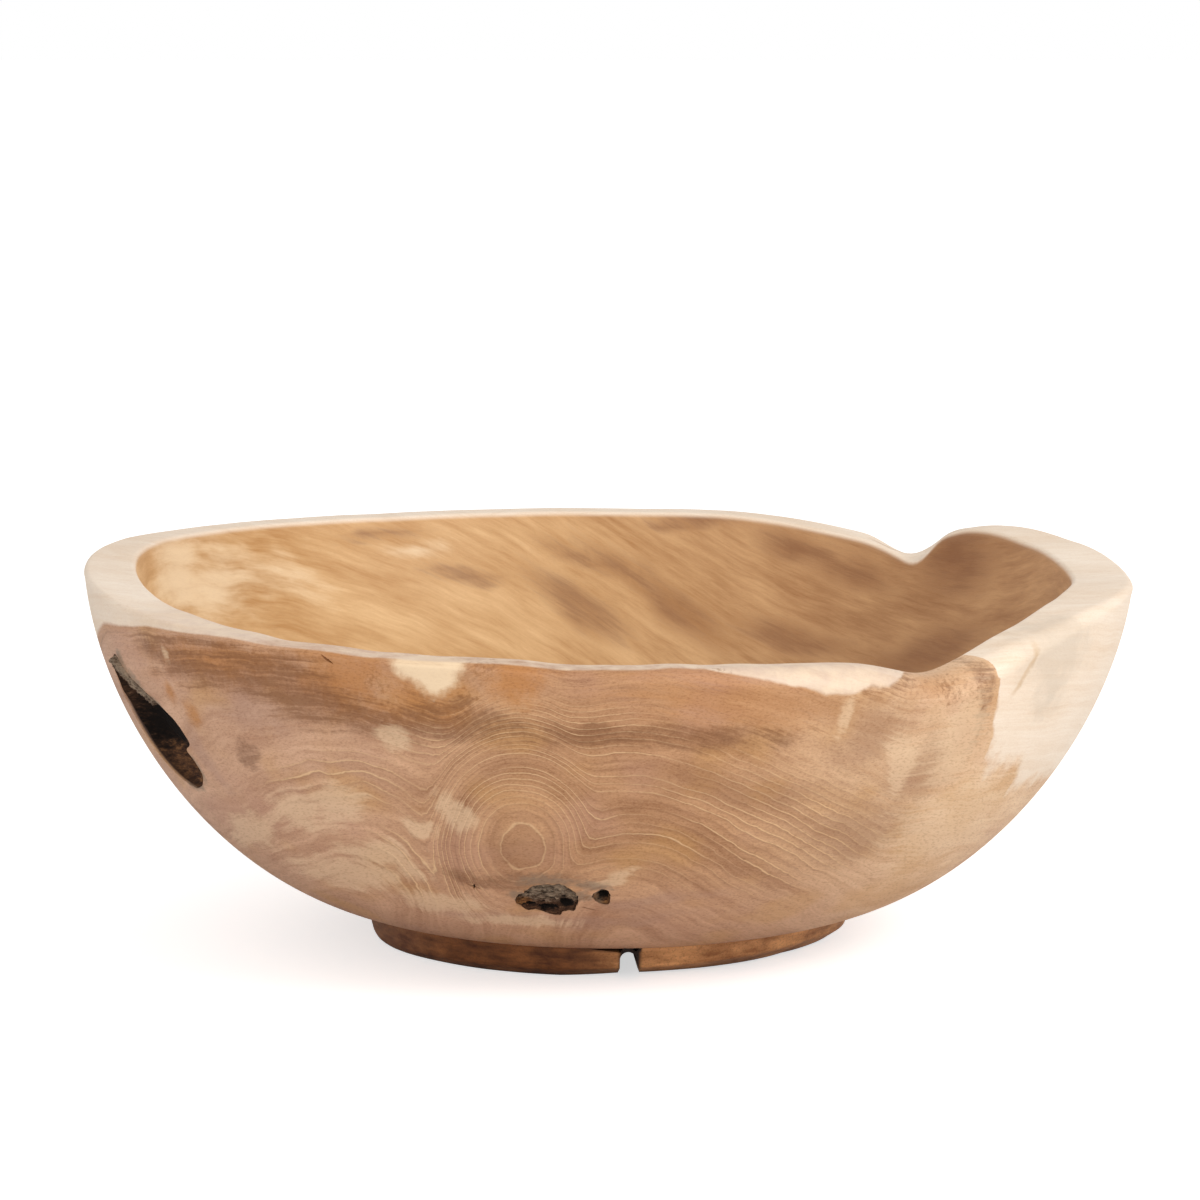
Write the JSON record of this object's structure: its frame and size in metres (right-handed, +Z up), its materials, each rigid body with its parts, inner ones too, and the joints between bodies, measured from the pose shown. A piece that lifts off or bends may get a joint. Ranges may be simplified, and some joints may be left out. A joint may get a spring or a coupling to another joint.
{
  "type": "salad bowl",
  "caption": "Round salad bowl carved from root wood, with a waving natural rim, a smooth basin, pockets of ingrown bark and a low turned foot ring.",
  "frame": {"origin": "middle of the bowl on the table plane, under the middle of its box", "axes": "+Z up along the foot ring's axis; -Y the front, where the small bark pocket and the foot's notch are; +X to the right as seen from the front"},
  "size_m": [0.2976, 0.296, 0.1091],
  "materials": {
    "root_wood": "sanded and oiled teak root, satin",
    "foot_wood": "turned and oiled teak, satin",
    "ingrown_bark": "raw, crumbly bark, dull"
  },
  "bodies": {
    "root": {"bowl_shell": "root_wood", "foot_ring": "foot_wood", "left_bark_lining": "ingrown_bark", "front_bark_pocket": "ingrown_bark", "front_bark_knot": "ingrown_bark"}
  },
  "joints": []
}
